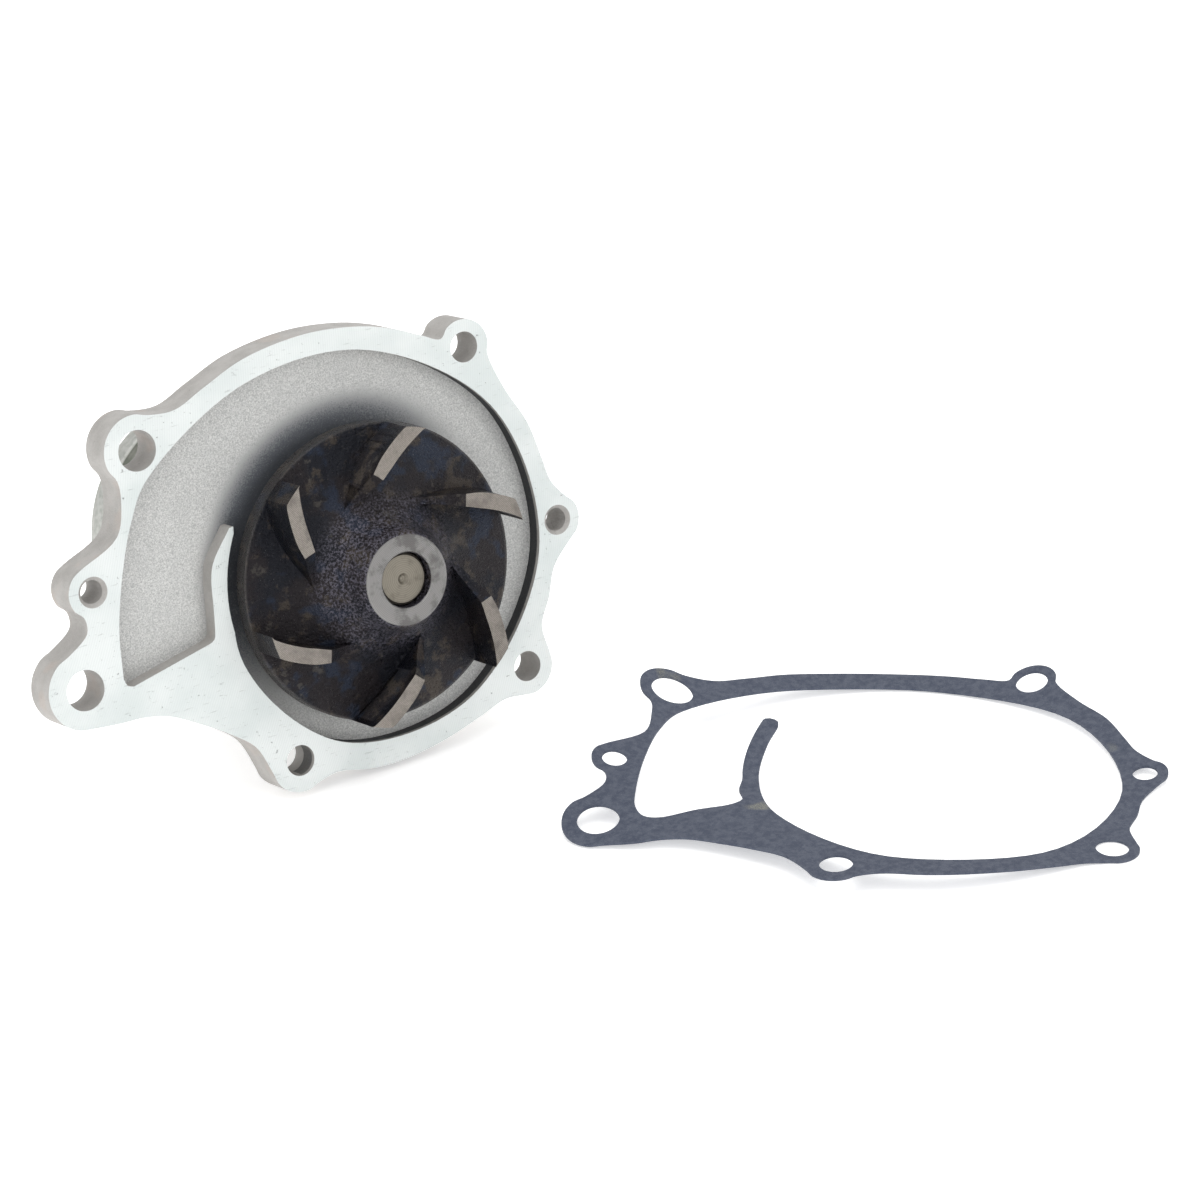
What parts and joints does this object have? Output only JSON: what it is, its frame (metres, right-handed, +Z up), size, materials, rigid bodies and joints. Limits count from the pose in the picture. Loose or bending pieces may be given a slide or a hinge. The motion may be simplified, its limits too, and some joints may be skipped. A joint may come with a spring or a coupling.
{
  "type": "water pump",
  "caption": "Engine water pump: machined volute flange with open-vane impeller, bearing nose and round drive hub, leaned back, with its loose paper gasket flat beside it.",
  "frame": {"origin": "on the floor under the middle of the pump and its gasket", "axes": "+Z up, +X to the right as seen facing the impeller, +Y away from the viewer behind the pump"},
  "size_m": [0.2718, 0.27, 0.122],
  "materials": {
    "cast_body": "cast and machined",
    "impeller_iron": "as cast, heat darkened",
    "shaft_steel": "ground",
    "hub_iron": "machined",
    "bearing_steel": "polished",
    "black_rubber": "matt",
    "seal_brass": "pressed",
    "carbon": "lapped carbon",
    "ring_ceramic": "lapped",
    "cage_plastic": "moulded",
    "gasket_paper": "pressed fibre"
  },
  "bodies": {
    "housing": {"pump_body": "cast_body", "bearing_outer_ring": "bearing_steel", "grease_seal_front": "black_rubber", "grease_seal_rear": "black_rubber", "seal_cup": "seal_brass", "seal_bellows": "black_rubber", "seal_spring": "bearing_steel", "carbon_ring": "carbon"},
    "rotor": {"impeller": "impeller_iron", "pump_shaft": "shaft_steel", "drive_hub": "hub_iron", "water_slinger": "black_rubber", "mating_ring": "ring_ceramic", "mating_ring_cup": "black_rubber"},
    "ball_set_front": {"bearing_ball_front_1": "bearing_steel", "bearing_ball_front_2": "bearing_steel", "bearing_ball_front_3": "bearing_steel", "bearing_ball_front_4": "bearing_steel", "bearing_ball_front_5": "bearing_steel", "bearing_ball_front_6": "bearing_steel", "bearing_ball_front_7": "bearing_steel", "bearing_ball_front_8": "bearing_steel", "ball_cage_front": "cage_plastic"},
    "ball_set_rear": {"bearing_ball_rear_1": "bearing_steel", "bearing_ball_rear_2": "bearing_steel", "bearing_ball_rear_3": "bearing_steel", "bearing_ball_rear_4": "bearing_steel", "bearing_ball_rear_5": "bearing_steel", "bearing_ball_rear_6": "bearing_steel", "bearing_ball_rear_7": "bearing_steel", "bearing_ball_rear_8": "bearing_steel", "ball_cage_rear": "cage_plastic"},
    "gasket": {"gasket": "gasket_paper"}
  },
  "joints": [
    {"name": "shaft_spin", "type": "hinge", "parent": "housing", "child": "rotor", "pos_m": [-0.03659, 0.03569, 0.05598], "axis": [0, -0.9781, 0.2079], "continuous": true},
    {"name": "ball_set_front_spin", "type": "hinge", "parent": "housing", "child": "ball_set_front", "pos_m": [-0.03659, 0.07286, 0.04808], "axis": [0, -0.9781, 0.2079], "continuous": true},
    {"name": "ball_set_rear_spin", "type": "hinge", "parent": "housing", "child": "ball_set_rear", "pos_m": [-0.03659, 0.09829, 0.04267], "axis": [0, -0.9781, 0.2079], "continuous": true},
    {"name": "gasket_lift", "type": "slide", "parent": "housing", "child": "gasket", "axis": [0, 0, 1], "range_m": [0, 0.03]}
  ],
  "couplings": [
    {"joint": "ball_set_front_spin", "follows": "shaft_spin", "ratio": 0.3553},
    {"joint": "ball_set_rear_spin", "follows": "shaft_spin", "ratio": 0.3553}
  ]
}
